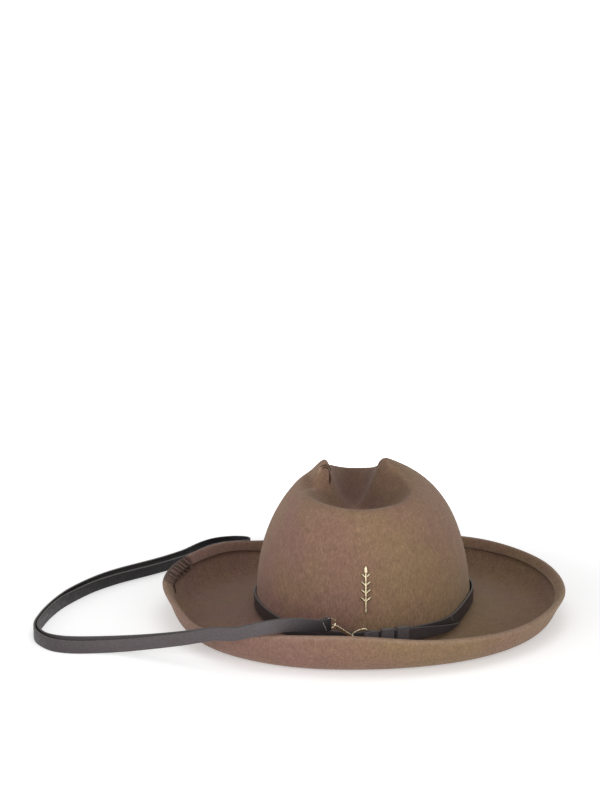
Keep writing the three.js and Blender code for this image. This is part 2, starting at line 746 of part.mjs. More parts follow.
function strapSection(route, leans, share) {
  const low = route.getPoint(share);
  const heading = route.getTangent(share);
  heading.z = 0;
  heading.normalize();
  const side = new THREE.Vector3().crossVectors(up, heading);
  const place = share * (leans.length - 1);
  const k = Math.min(Math.floor(place), leans.length - 2);
  const lean = (leans[k] + (place - k) * (leans[k + 1] - leans[k])) * degree;
  const leanSide = side.clone();
  if (leanSide.y > 0) {
    leanSide.negate();
  }
  const rise = up.clone().multiplyScalar(Math.cos(lean)).addScaledVector(leanSide, Math.sin(lean));
  const thick = new THREE.Vector3().crossVectors(heading, rise).normalize();
  const half = strapThickness / 2;
  const lift = half * Math.abs(Math.sin(lean));
  const corner = (across, height) => low.clone()
    .addScaledVector(thick, across)
    .addScaledVector(rise, height)
    .addScaledVector(up, lift);
  return [
    corner(-half, strapBevel),
    corner(-half + strapBevel, 0),
    corner(half - strapBevel, 0),
    corner(half, strapBevel),
    corner(half, strapWidth - strapBevel),
    corner(half - strapBevel, strapWidth),
    corner(-half + strapBevel, strapWidth),
    corner(-half, strapWidth - strapBevel),
  ];
}

// Brass sprig on the crown's wall: a stem with pairs of leaflets and one leaf at its tip.
function pinGeometry() {
  const wall = wallPoints(270 + pinAcross);
  const foot = pointAtHeight(wall, pinFoot);
  const tip = pointAtHeight(wall, pinFoot + pinLength - leafletLength);
  const stemAxis = tip.clone().sub(foot).normalize();
  const side = new THREE.Vector3(1, 0, 0);
  side.addScaledVector(stemAxis, -side.dot(stemAxis)).normalize();
  const out = new THREE.Vector3().crossVectors(side, stemAxis);
  const lift = pieceGap + pinStemRadius + pinStandOff;
  foot.addScaledVector(out, lift);
  tip.addScaledVector(out, lift);
  const toStem = new THREE.Matrix4().makeBasis(side, stemAxis, out);
  const stemLength = foot.distanceTo(tip);
  const stem = new THREE.CylinderGeometry(pinStemRadius * 0.75, pinStemRadius, stemLength, 8);
  stem.applyMatrix4(toStem);
  stem.translate(...foot.clone().add(tip).multiplyScalar(0.5).toArray());
  const leaf = (base, direction, length, width) => {
    const shape = new THREE.SphereGeometry(1, 8, 6);
    shape.scale(width / 2, length / 2, pinStemRadius * 0.8);
    shape.rotateZ(-direction);
    shape.translate((Math.sin(direction) * length) / 2, (Math.cos(direction) * length) / 2, 0);
    shape.applyMatrix4(toStem);
    shape.translate(...base.toArray());
    return shape;
  };
  const tipBase = tip.clone().addScaledVector(stemAxis, -pinStemRadius);
  const pieces = [stem, leaf(tipBase, 0, leafletLength + pinStemRadius, leafletWidth * 1.2)];
  for (let k = 0; k < leafletPairs; k += 1) {
    const share = firstLeaflet + ((lastLeaflet - firstLeaflet) * k) / (leafletPairs - 1);
    const base = foot.clone().lerp(tip, share);
    const length = leafletLength * (1.1 - 0.3 * share);
    for (const turn of [-leafletSpread, leafletSpread]) {
      pieces.push(leaf(base, turn * degree, length, leafletWidth));
    }
  }
  const knob = new THREE.SphereGeometry(pinStemRadius * 1.5, 8, 6);
  knob.translate(...foot.toArray());
  pieces.push(knob);
  return joined(pieces);
}

// Outer face of the crown's wall along one azimuth, from the ridge down.
function wallPoints(azimuth) {
  const wall = meridian(azimuth)[1].curve;
  const points = [];
  for (let k = 0; k <= 60; k += 1) {
    const t = k / 60;
    const heading = wall.getTangent(t);
    const side = new THREE.Vector3().crossVectors(up, outwards(azimuth));
    const normal = new THREE.Vector3().crossVectors(heading, side).normalize();
    points.push(wall.getPoint(t).addScaledVector(normal, feltThickness / 2));
  }
  return points;
}

function pointAtHeight(points, height) {
  const k = points.findIndex((point) => point.z < height);
  const above = points[k - 1];
  const below = points[k];
  return below.clone().lerp(above, (height - below.z) / (above.z - below.z));
}

// Materials and nodes
const felt = { color: 0x7d6455, roughness: 0.95, metalness: 0 };
const leather = { color: 0x352b2a, roughness: 0.5, metalness: 0 };
const brass = { color: 0xc8a873, roughness: 0.3, metalness: 0.9 };

const group = new THREE.Group();

function addPiece(name, geometry, look) {
  const mesh = new THREE.Mesh(geometry, new THREE.MeshStandardMaterial(look));
  mesh.name = name;
  group.add(mesh);
}

addPiece("felt_body", feltGeometry(), felt);
addPiece("hat_band", bandGeometry(), leather);
addPiece("band_tab", tabGeometry(), leather);
for (let k = 0; k < 2; k += 1) {
  addPiece(`keeper_${k + 1}`, keeperGeometry(keeperStart + k * keeperSpacing), leather);
}
addPiece("band_ring", wireLoop(bandRingCurve, ringWire, 30, 6), brass);
addPiece("strap_ring", wireLoop(strapRingCurve, ringWire, 30, 6), brass);
addPiece("hook", hookGeometry(), brass);
addPiece("strap", strapGeometry(), leather);
addPiece("crown_pin", pinGeometry(), brass);

export default group;
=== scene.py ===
# Felt hat with a creased crown, an upturned rolled brim, a leather band and a loose leather strap.
# Metres, +Z up. The hat stands on the floor at z = 0 and -Y is the side that the camera sees.
import math
import random

import bmesh
import bpy
from mathutils import Matrix, Vector, noise
from mathutils.bvhtree import BVHTree


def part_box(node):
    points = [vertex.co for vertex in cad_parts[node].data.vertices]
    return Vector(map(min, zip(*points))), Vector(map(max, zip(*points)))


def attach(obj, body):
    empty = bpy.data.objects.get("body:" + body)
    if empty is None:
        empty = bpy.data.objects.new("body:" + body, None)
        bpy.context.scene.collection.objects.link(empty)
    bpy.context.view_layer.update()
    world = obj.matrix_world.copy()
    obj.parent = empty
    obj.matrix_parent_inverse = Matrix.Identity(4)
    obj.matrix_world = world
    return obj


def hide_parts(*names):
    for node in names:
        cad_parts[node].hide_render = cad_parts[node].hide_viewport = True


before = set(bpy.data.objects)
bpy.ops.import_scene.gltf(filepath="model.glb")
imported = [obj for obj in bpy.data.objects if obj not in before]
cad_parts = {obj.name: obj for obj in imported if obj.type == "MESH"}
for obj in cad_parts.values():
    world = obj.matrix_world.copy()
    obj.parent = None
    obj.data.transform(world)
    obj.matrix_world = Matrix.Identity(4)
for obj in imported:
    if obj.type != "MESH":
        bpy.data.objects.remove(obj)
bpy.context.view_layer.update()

# Camera
PHOTO_SIZE = (600, 800)
VIEW_TARGET = Vector((0, 0, 0.05))
VIEW_DISTANCE = 2.4
VIEW_ELEVATION = math.radians(14.8)
TARGET_PIXEL = (363.5, 555.2)
FOCAL_PIXELS = 2985.6
SENSOR = 36

# Floor and light: each area light has a name, a place, a target, a size and a power
WORLD_STRENGTH = 0.4
LIGHTS = [
    ("overhead", (0.1, -0.15, 1.5), (0, 0, 0), (1.2, 1.0), 5.2),
    ("left", (-1.4, -0.5, 0.4), (0, 0, 0.05), (0.8, 0.6), 2.6),
    ("front", (0.05, -1.5, 0.42), (0, 0, 0.05), (3.8, 0.8), 26),
]
FLOOR_SIZE = 60
FLOOR_GREY = (0.86, 0.86, 0.86, 1)
GLOW_FROM, GLOW_TO = 0.2, 0.62
GLOW_LEAST, GLOW_MOST = 0.36, 1.4

# Colours
WHITE = (1, 1, 1, 1)
FELT_RED = (0.188, 0.104, 0.082)
FELT_YELLOW = (0.192, 0.123, 0.068)
# Lighter felt on edges: wear and a painted highlight
FELT_WORN_AND_LIT = (0.30, 0.215, 0.165)
# Painted shade on the felt: in the slit, the dent's crease and right slope, and under the whip stitches
FELT_PAINTED_SHADE = (0.022, 0.010, 0.007)
# Lighter leather where the front light falls on the strap's near part, the tab and the keepers: painted
# light
LEATHER_PAINTED_LIGHT = (0.074, 0.062, 0.065)
# Near-black leather in the gaps beside the keepers: painted shade
LEATHER_PAINTED_SHADE = (0.001, 0.001, 0.001)
# Lighter leather on edges: scuffs and a painted highlight
LEATHER_SCUFFED_AND_LIT = (0.14, 0.12, 0.11)
LEATHER_CUT = (0.12, 0.11, 0.105)
STRAP_DARK, STRAP_LIGHT = (0.006, 0.0045, 0.005), (0.012, 0.0095, 0.010)
BAND_DARK, BAND_LIGHT = (0.016, 0.012, 0.012), (0.032, 0.025, 0.025)
BRASS_DULL, BRASS_BRIGHT = (0.42, 0.31, 0.17), (0.95, 0.85, 0.66)
PIN_DULL, PIN_BRIGHT = (0.20, 0.155, 0.09), (0.62, 0.53, 0.36)
THREAD_BROWN = (0.24, 0.155, 0.13)
THREAD_DARK = (0.036, 0.016, 0.011)
THREAD_PALE = (0.30, 0.27, 0.25)

# Values of a noise texture that are spread over the whole range
NOISE_LOW, NOISE_HIGH = 0.3, 0.7

# Sockets of a node that mixes colours
MIX_FACTOR, MIX_FIRST, MIX_SECOND, MIX_RESULT = 0, 6, 7, 2

# Strap: each point of its route has x, y, the height of the lower edge and the lean in degrees
STRAP_WIDTH = 0.010
STRAP_THICKNESS = 0.0016
STRAP_FLAP = 0.013
STRAP_END = Vector((-0.027, -0.138, 0.0274))
STRAP_HEADING = math.radians(37)
STRAP_BEND = 0.00175
STRAP_BEND_POINTS = 7
STRAP_EDGE = 0.00035
STRAP_CORNER = 0.0001
BEND_STEP = 0.0006
ROUTE_STEP = 0.004
# Painted light along the strap: its least share, and how it rises and falls along the strap's length
LIT_LEAST = 0.12
LIT_FROM = 0.018
LIT_RISE = 0.06
LIT_TO = 0.2
LIT_FALL = 0.17
STRAP_ROUTE = [
    (-0.045, -0.1502, 0.0302, 0), (-0.058, -0.1556, 0.0314, 0), (-0.07, -0.1594, 0.031, 0),
    (-0.084, -0.1578, 0.0278, 0), (-0.097, -0.1536, 0.0238, 0), (-0.113, -0.1453, 0.0214, 0),
    (-0.135, -0.134, 0.0146, 0), (-0.167, -0.119, 0.0064, 0), (-0.189, -0.1095, 0.0016, 0),
    (-0.208, -0.1078, 0.0002, 0), (-0.224, -0.1085, 0.0002, 0), (-0.239, -0.1035, 0.0002, 0),
    (-0.249, -0.092, 0.0002, 0), (-0.2565, -0.076, 0.0002, 0), (-0.2595, -0.054, 0.0002, 0),
    (-0.258, -0.032, 0.0002, 0), (-0.2548, -0.0086, 0.0002, 0), (-0.244, 0.04, 0.0002, 6),
    (-0.222, 0.09, 0.0002, 14), (-0.204, 0.116, 0.0002, 20), (-0.179, 0.143, 0.0002, 20),
    (-0.156, 0.171, 0.0002, 12), (-0.142, 0.195, 0.0002, 0), (-0.129, 0.211, 0.0002, 0),
    (-0.112, 0.217, 0.0002, 0), (-0.1015, 0.214, 0.0002, 0), (-0.0995, 0.207, 0.0002, 0),
    (-0.107, 0.2015, 0.0002, 0), (-0.121, 0.197, 0.0002, 0), (-0.134, 0.184, 0.0002, 0),
    (-0.147, 0.162, 0.0002, 10), (-0.162, 0.1435, 0.0002, 18), (-0.182, 0.1205, 0.0002, 20),
    (-0.204, 0.097, 0.0002, 18), (-0.2235, 0.0695, 0.0002, 12), (-0.2375, 0.0397, 0.0002, 6),
    (-0.246, 0.0165, 0.0002, 0), (-0.2522, -0.01, 0.0002, 0), (-0.2554, -0.032, 0.0002, 0),
    (-0.257, -0.052, 0.0002, 0), (-0.2552, -0.068, 0.0002, 0), (-0.2475, -0.085, 0.0002, 0),
    (-0.232, -0.0946, 0.0002, 0), (-0.198, -0.0965, 0.0008, 0), (-0.167, -0.1105, 0.0064, 0),
    (-0.138, -0.1278, 0.014, 0), (-0.113, -0.1424, 0.0214, 0), (-0.097, -0.1509, 0.0238, 0),
    (-0.084, -0.1551, 0.0278, 0), (-0.07, -0.1567, 0.031, 0), (-0.058, -0.1531, 0.0314, 0),
    (-0.046, -0.148, 0.0302, 0),
]

# Brass
RING_WIRE = 0.00065
STRAP_RING_HALF_HEIGHT = 0.0043
STRAP_RING_REACH = 0.0072
HOOK_STRAND = 0.00062
HOOK_STRAND_OFFSET = 0.0009
HOOK_TWISTS = 6
HOOK_EYE_RADIUS = 0.0016
HOOK_PLAY = 0.0001
HOOK_AT_STRAP_RING = math.radians(-30)
HOOK_AT_BAND_RING = math.radians(-4)
PIN_PAIRS = 4
PIN_STEM = 0.0006
PIN_STEM_LIFT = 0.0011
PIN_STEM_POINTS = 7
PIN_RAY_FROM = -0.13
PIN_KNOB = 0.0012
LEAF_LENGTH = 0.0056
LEAF_WIDTH = 0.0024
LEAF_THICKNESS = 0.0005
LEAF_LIFT = 0.0002
LEAF_SPREAD = 46
LEAVES_FROM = 0.26
LEAVES_SPAN = 0.62
LOWEST_LEAF_SIZE = 1.08
LEAF_SIZE_LOSS = 0.3
TOP_LEAF_SIZE = 1.1

# Band, tab and keepers: bevels of their edges, and the painted light on the tab along x
BAND_BEVEL = 0.00035
TAB_BEVEL = 0.0003
TAB_LIT_LEAST = 0.2
TAB_LIT_END = 0.03
TAB_LIT_FADE = 0.01
KEEPER_SHADE = 0.0015

# Felt: ovals about the hat's middle, the dent, where its painted shade, wear and painted highlight lie,
# and the ripples
BAND_OVAL = (0.0885, 0.105)
BRIM_OVAL = (0.162, 0.1785)
DENT_MIDDLE = (-0.008, -0.002)
DENT_HALF = (0.036, 0.068)
DENT_HEIGHTS = (0.08, 0.12)
DENT_COARSE_PASSES = 6
DENT_FINE_PASSES = 24
# Painted shade along the dent's crease
VALLEY_X = -0.012
VALLEY_WIDTH = 0.012
VALLEY_LENGTH = 0.03
VALLEY_SHADE = 0.27
# Painted shade on the dent's right slope
SLOPE_LOW = 0.085
SLOPE_HALF = 0.065
SLOPE_X = -0.005
SLOPE_FADE = 0.01
SLOPE_SHADE = 0.3
# Lighter felt along the crown's near top: wear and a painted highlight
CREST_BACK = -0.02
CREST_LOW = 0.097
CREST_HALF = 0.037
CREST_FADE = 0.008
CREST_FLAT = 0.93
CREST_FLAT_FADE = 0.05
CREST_WEAR_AND_HIGHLIGHT = 0.7
RIPPLE_SCALE = 22
RIPPLE_HEIGHT = 0.0004
RIPPLE_RISE_OFF_BAND = 6
RIPPLE_RISE_OFF_FLOOR = 200
FELT_FLAT = 0.004
HUMPS_LOW = 0.098
HUMPS_FADE = 0.014

# How much an edge stands out where its wear and painted highlight are in full
FELT_EDGE = 260
LEATHER_EDGE = 2500

# Bumps of the crown's two humps: x, y, width, length and height
HUMP_BUMPS = [
    (-0.028, -0.008, 0.0075, 0.016, 0.0046),
    (-0.0425, -0.008, 0.0052, 0.020, -0.0068),
    (-0.0265, 0.000, 0.0050, 0.020, 0.0040),
    (-0.026, 0.036, 0.010, 0.022, 0.0024),
    (-0.0255, 0.050, 0.0080, 0.030, 0.0036),
    (0.0115, 0.050, 0.0040, 0.030, 0.0016),
    (0.018, 0.005, 0.006, 0.020, 0.0012),
]

# Whip stitches over the brim's rolled left edge, by azimuth; the sway and turns are in degrees
WRAP_THREAD = 0.0005
WRAP_COUNT = 9
WRAP_FIRST = math.radians(182)
WRAP_LAST = math.radians(161)
WRAP_SLANT = math.radians(-7)
WRAP_SWAY = 0.7
WRAP_HOLE_HEIGHT = 0.019
WRAP_HOLE_SWAY = 0.002
WRAP_ROUND_POINTS = 10
WRAP_DROP_POINTS = 5
WRAP_TURN_FROM = -55
WRAP_TURN_SWEEP = 215
WRAP_LIFT = 0.75
ROLL_HEIGHT = 0.0245
ROLL_HALF = 0.0045
RIM_HEIGHT = 0.024
RIM_RAY = 0.3
ROLL_RAY = 0.03

# Painted shade on the felt beneath the whip stitches
WRAPPED_SHADE = 0.85
WRAPPED_SLANT = 0.7
WRAPPED_FROM = 0.925
WRAPPED_OUTSIDE = 0.99
WRAPPED_FADE = math.radians(1.6)
WRAPPED_SPARE = math.radians(0.6)
WRAPPED_FOOT_INSIDE = 0.0175
WRAPPED_FOOT_OUTSIDE = 0.0205
WRAPPED_RISE = 0.003

# The slit, and other threads by their places in the picture
SLIT_WIDTH = 0.0013
SLIT_DEPTH = 0.002
SLIT_REACH = 7
SLIT_CUTS = 7
SLIT_FACING = 0.3
SLIT_ENDS = (0.02, 0.98)
SLIT_LIP = 0.22
SLIT_LIP_PLACE = 1.7
# Painted shade inside the slit: how dark it is and how far it reaches
SLIT_SHADE = 2.6
SLIT_SHADE_REACH = 1.25
THREAD_SUNK = -1.0
THREAD_LIFT = 0.7
CROWN_THREAD = 0.0004
WELT_THREAD = 0.00045
STRAP_THREAD = 0.00022
BAND_THREAD = 0.0002
CROWN_SLIT = [(329.3, 471.8), (329.7, 478), (329.4, 484.2)]
CROWN_STITCHES = [
    [(320.8, 466.8), (323, 465), (326.8, 465.2), (329.9, 468.2), (330.7, 471)],
    [(322.6, 468.6), (324.2, 467.2), (326.2, 467.6), (328, 469.2), (328.9, 471.6)],
]
WELT_STITCH = [(174.0, 585.0), (174.6, 589.0), (175.8, 593.5)]
STRAP_STITCHES = [
    [(321.6, 619.6), (322.6, 621.8)],
    [(323, 622.6), (324.1, 625)],
    [(324.5, 625.8), (325.6, 628.4)],
    [(325.9, 629.2), (326.2, 630.8)],
]
BAND_STITCHES = [[(451.2, 616), (451.9, 618)], [(452.2, 618.8), (453, 620.8)]]

UP = Vector((0, 0, 1))


def clamped(value):
    return min(max(value, 0), 1)


# Camera, floor and light
def make_camera():
    data = bpy.data.cameras.new("camera")
    data.sensor_width = SENSOR
    data.lens = FOCAL_PIXELS * SENSOR / max(PHOTO_SIZE)
    camera = bpy.data.objects.new("camera", data)
    bpy.context.scene.collection.objects.link(camera)
    back = Vector((0, -math.cos(VIEW_ELEVATION), math.sin(VIEW_ELEVATION)))
    camera.location = VIEW_TARGET + back * VIEW_DISTANCE
    look = (-back).to_track_quat("-Z", "Y")
    middle = Vector((
        PHOTO_SIZE[0] / 2 - TARGET_PIXEL[0],
        TARGET_PIXEL[1] - PHOTO_SIZE[1] / 2,
        -FOCAL_PIXELS,
    ))
    turn = Vector((0, 0, -1)).rotation_difference(middle.normalized())
    camera.rotation_mode = "QUATERNION"
    camera.rotation_quaternion = look @ turn
    bpy.context.scene.camera = camera
    return camera


# Place on a surface that the camera sees at a pixel of the picture, and the way that it faces.
def seen_on(surface, pixel):
    across = Vector((pixel[0] - PHOTO_SIZE[0] / 2, PHOTO_SIZE[1] / 2 - pixel[1], -FOCAL_PIXELS))
    heading = (camera.rotation_quaternion @ across).normalized()
    place, facing, _, _ = surface.ray_cast(camera.location, heading)
    return place, facing


def area_light(name, place, target, size, power):
    data = bpy.data.lights.new(name, "AREA")
    data.shape = "RECTANGLE"
    data.size, data.size_y = size
    data.energy = power
    light = bpy.data.objects.new(name, data)
    bpy.context.scene.collection.objects.link(light)
    light.location = place
    light.rotation_mode = "QUATERNION"
    light.rotation_quaternion = (Vector(target) - Vector(place)).to_track_quat("-Z", "Y")


def make_stage():
    scene = bpy.context.scene
    scene.view_settings.view_transform = "Standard"
    world = bpy.data.worlds.new("white")
    world.use_nodes = True
    background = world.node_tree.nodes["Background"]
    background.inputs["Color"].default_value = WHITE
    background.inputs["Strength"].default_value = WORLD_STRENGTH
    scene.world = world
    for light in LIGHTS:
        area_light(*light)

    bpy.ops.object.select_all(action="DESELECT")
    bpy.ops.mesh.primitive_plane_add(size=FLOOR_SIZE, location=(0, 0, 0))
    floor = bpy.context.object
    floor.name = "floor"
    paper, tree, shader = new_material("white paper", Roughness=0.9, Specular_IOR_Level=0.1)
    shader.inputs["Base Color"].default_value = FLOOR_GREY
    shader.inputs["Emission Color"].default_value = WHITE
    distance = add_node(tree, "VectorMath", {0: stretched(tree, (1, 1, 1))}, operation="LENGTH")
    glow = add_node(tree, "MapRange", {
        "Value": distance.outputs["Value"],
        "From Min": GLOW_FROM, "From Max": GLOW_TO, "To Min": GLOW_LEAST, "To Max": GLOW_MOST,
    }, interpolation_type="SMOOTHSTEP")
    tree.links.new(glow.outputs["Result"], shader.inputs["Emission Strength"])
    floor.data.materials.append(paper)


# Materials
def add_node(tree, kind, sources=None, **settings):
    made = tree.nodes.new("ShaderNode" + kind)
    for name, value in settings.items():
        setattr(made, name, value)
    for socket, value in (sources or {}).items():
        if isinstance(value, bpy.types.NodeSocket):
            tree.links.new(value, made.inputs[socket])
        else:
            made.inputs[socket].default_value = value
    return made


def new_material(name, **sockets):
    material = bpy.data.materials.new(name)
    material.use_nodes = True
    shader = material.node_tree.nodes["Principled BSDF"]
    for socket, value in sockets.items():
        shader.inputs[socket.replace("_", " ")].default_value = value
    return material, material.node_tree, shader


def stretched(tree, scale):
    place = add_node(tree, "TexCoord")
    return add_node(tree, "Mapping", {
        "Vector": place.outputs["Object"],
        "Scale": scale,
    }).outputs["Vector"]


def noise_value(tree, where, scale, detail=3, low=0.0, high=1.0, rough=0.55):
    texture = add_node(tree, "TexNoise", {
        "Vector": where, "Scale": scale, "Detail": detail, "Roughness": rough,
    })
    spread = add_node(tree, "MapRange", {
        "Value": texture.outputs["Fac"],
        "From Min": NOISE_LOW, "From Max": NOISE_HIGH, "To Min": low, "To Max": high,
    })
    return spread.outputs["Result"]


def blend(tree, factor, first, second, kind="MIX"):
    mixer = add_node(tree, "Mix", data_type="RGBA", blend_type=kind)
    for index, value in ((MIX_FACTOR, factor), (MIX_FIRST, first), (MIX_SECOND, second)):
        if isinstance(value, bpy.types.NodeSocket):
            tree.links.new(value, mixer.inputs[index])
        elif index == MIX_FACTOR:
            mixer.inputs[index].default_value = value
        else:
            mixer.inputs[index].default_value = (*value, 1)
    return mixer.outputs[MIX_RESULT]


def arithmetic(tree, operation, first, second):
    return add_node(tree, "Math", {0: first, 1: second}, operation=operation).outputs[0]


def attribute(tree, name):
    return add_node(tree, "Attribute", attribute_name=name, attribute_type="GEOMETRY").outputs["Fac"]


def grey(tree, value):
    return add_node(tree, "CombineColor", {"Red": value, "Green": value, "Blue": value}).outputs["Color"]


def bump(tree, height, distance, strength, below=None):
    sources = {"Height": height, "Distance": distance, "Strength": strength}
    if below is not None:
        sources["Normal"] = below
    return add_node(tree, "Bump", sources).outputs["Normal"]


def felt_material():
    material, tree, shader = new_material(
        "wool felt", Roughness=0.92, Specular_IOR_Level=0.15,
        Sheen_Weight=0.27, Sheen_Roughness=0.35, Sheen_Tint=(0.8, 0.66, 0.56, 1),
    )
    where = stretched(tree, (1, 1, 1))
    patches = noise_value(tree, where, scale=16, detail=2, low=-0.25, high=0.75)
    parts = add_node(tree, "SeparateXYZ", {"Vector": where})
    side = add_node(tree, "MapRange", {
        "Value": parts.outputs["X"], "From Min": -0.07, "From Max": 0.06, "To Min": 0.0, "To Max": 0.5,
    }, interpolation_type="SMOOTHSTEP")
    warmth = arithmetic(tree, "ADD", patches, side.outputs["Result"])
    mottle = noise_value(tree, where, scale=150, detail=4, low=0.92, high=1.08)
    along_fibres = stretched(tree, (760, 760, 230))
    fibre = noise_value(tree, along_fibres, scale=1, detail=5, low=0.72, high=1.28, rough=0.7)
    fleck = noise_value(tree, where, scale=1300, detail=3, low=0.8, high=1.2, rough=0.7)
    colour = blend(tree, warmth, FELT_RED, FELT_YELLOW)
    for change in (mottle, fibre, fleck):
        colour = blend(tree, 1.0, colour, grey(tree, change), "MULTIPLY")
    # Wear and a painted highlight on the felt's edges
    wear_and_highlight = attribute(tree, "wear_and_highlight")
    worn_and_lit = arithmetic(tree, "MULTIPLY", wear_and_highlight, noise_value(tree, where, scale=300, low=0.5))
    colour = blend(tree, worn_and_lit, colour, FELT_WORN_AND_LIT)
    # Painted shade in the slit, the dent's crease and right slope, and under the whip stitches
    colour = blend(tree, attribute(tree, "felt_painted_shade"), colour, FELT_PAINTED_SHADE)
    tree.links.new(colour, shader.inputs["Base Color"])
    soft = bump(tree, mottle, distance=0.0004, strength=0.6)
    rough = bump(tree, fibre, distance=0.0005, strength=0.8, below=soft)
    rougher = bump(tree, fleck, distance=0.0003, strength=0.8, below=rough)
    tree.links.new(rougher, shader.inputs["Normal"])
    return material


def leather_material(name, dark, light, gloss):
    material, tree, shader = new_material(name, Specular_IOR_Level=gloss)
    where = stretched(tree, (1, 1, 1))
    cells = add_node(tree, "TexVoronoi", {"Vector": where, "Scale": 1400.0, "Randomness": 1.0})
    crease = noise_value(tree, where, scale=420, detail=4)
    tone = noise_value(tree, where, scale=60, detail=4)
    colour = blend(tree, tone, dark, light)
    # Painted light: lighter leather where the front light falls
    colour = blend(tree, attribute(tree, "handled"), colour, LEATHER_PAINTED_LIGHT)
    # Painted shade in the gaps beside the keepers
    colour = blend(tree, attribute(tree, "hidden"), colour, LEATHER_PAINTED_SHADE)
    mottle = noise_value(tree, where, scale=900, low=0.8, high=1.2)
    colour = blend(tree, 1.0, colour, grey(tree, mottle), "MULTIPLY")
    # Scuffs and a painted highlight on the leather's edges
    wear_and_highlight = attribute(tree, "wear_and_highlight")
    scuffs_and_highlights = arithmetic(tree, "MULTIPLY", wear_and_highlight, noise_value(tree, where, scale=500, low=0.2, high=0.8))
    colour = blend(tree, scuffs_and_highlights, colour, LEATHER_SCUFFED_AND_LIT)
    colour = blend(tree, attribute(tree, "cut"), colour, LEATHER_CUT)
    tree.links.new(colour, shader.inputs["Base Color"])
    roughness = noise_value(tree, where, scale=240, detail=4, low=0.38, high=0.6)
    tree.links.new(roughness, shader.inputs["Roughness"])
    grain = bump(tree, cells.outputs["Distance"], distance=0.0001, strength=0.5)
    creased = bump(tree, crease, distance=0.0002, strength=0.5, below=grain)
    tree.links.new(creased, shader.inputs["Normal"])
    return material


def brass_material(name, dull, bright):
    material, tree, shader = new_material(name, Metallic=1.0)
    where = stretched(tree, (1, 1, 1))
    tarnish = noise_value(tree, where, scale=700, detail=4)
    tree.links.new(blend(tree, tarnish, dull, bright), shader.inputs["Base Color"])
    roughness = noise_value(tree, where, scale=1500, low=0.18, high=0.36)
    tree.links.new(roughness, shader.inputs["Roughness"])
    pits = bump(tree, noise_value(tree, where, scale=3000, detail=2), distance=0.00003, strength=0.5)
    tree.links.new(pits, shader.inputs["Normal"])
    return material


def thread_material(name, colour):
    material, tree, shader = new_material(name, Roughness=0.6, Specular_IOR_Level=0.1, Sheen_Weight=0.02)
    where = stretched(tree, (1, 1, 1))
    twist = noise_value(tree, where, scale=2600, low=0.6, high=1.4)
    tree.links.new(blend(tree, 1.0, colour, grey(tree, twist), "MULTIPLY"), shader.inputs["Base Color"])
    tree.links.new(bump(tree, twist, distance=0.00015, strength=0.8), shader.inputs["Normal"])
    return material


# Meshes
def activate(piece):
    bpy.ops.object.select_all(action="DESELECT")
    piece.select_set(True)
    bpy.context.view_layer.objects.active = piece


def apply_modifier(piece, kind, **settings):
    modifier = piece.modifiers.new(kind.lower(), kind)
    for name, value in settings.items():
        setattr(modifier, name, value)
    activate(piece)
    bpy.ops.object.modifier_apply(modifier=modifier.name)


def smooth(piece, angle=None):
    activate(piece)
    if angle is None:
        bpy.ops.object.shade_smooth()
    else:
        bpy.ops.object.shade_smooth_by_angle(angle=math.radians(angle))


def subdivide(piece, levels):
    apply_modifier(piece, "SUBSURF", levels=levels, render_levels=levels)


def copy_of_node(node, name):
    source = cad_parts[node]
    piece = bpy.data.objects.new(name, source.data.copy())
    bpy.context.scene.collection.objects.link(piece)
    piece.data.materials.clear()
    activate(piece)
    if piece.data.has_custom_normals:
        bpy.ops.mesh.customdata_custom_splitnormals_clear()
    bpy.ops.object.mode_set(mode="EDIT")
    bpy.ops.mesh.select_all(action="SELECT")
    bpy.ops.mesh.remove_doubles(threshold=0.00001)
    limit = math.radians(60)
    bpy.ops.mesh.tris_convert_to_quads(face_threshold=limit, shape_threshold=limit)
    bpy.ops.object.mode_set(mode="OBJECT")
    return piece


def join(name, parts):
    activate(parts[0])
    for part in parts[1:]:
        part.select_set(True)
    bpy.ops.object.join()
    parts[0].name = name
    return parts[0]


def settle(piece, material, nodes=()):
    piece.data.materials.clear()
    piece.data.materials.append(material)
    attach(piece, "root")
    if nodes:
        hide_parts(*nodes)
    return piece


def surface_of(piece):
    return BVHTree.FromObject(piece, bpy.context.evaluated_depsgraph_get())


def read_vectors(piece, field):
    flat = [0.0] * (3 * len(piece.data.vertices))
    piece.data.vertices.foreach_get(field, flat)
    return [Vector(flat[i:i + 3]) for i in range(0, len(flat), 3)]


def move_vertices(piece, places):
    piece.data.vertices.foreach_set("co", [number for place in places for number in place])
    piece.data.update()


def write_attribute(piece, name, values):
    layer = piece.data.attributes.new(name, "FLOAT", "POINT")
    layer.data.foreach_set("value", values)


# How far each point stands out from its neighbours, from 0 on a flat or hollow place to 1 on an edge.
def standing_out(piece, full):
    mesh = piece.data
    values = [0.0] * len(mesh.vertices)
    near = [[] for _ in mesh.vertices]
    for edge in mesh.edges:
        a, b = edge.vertices
        near[a].append(b)
        near[b].append(a)
    for vertex in mesh.vertices:
        total = 0.0
        for other in near[vertex.index]:
            gap = vertex.co - mesh.vertices[other].co
            total += gap.dot(vertex.normal) / max(gap.length_squared, 1e-12)
        values[vertex.index] = total / max(len(near[vertex.index]), 1)
    eased = [
        (value + sum(values[k] for k in near[i])) / (1 + len(near[i]))
        for i, value in enumerate(values)
    ]
    return [clamped(value / full) for value in eased]


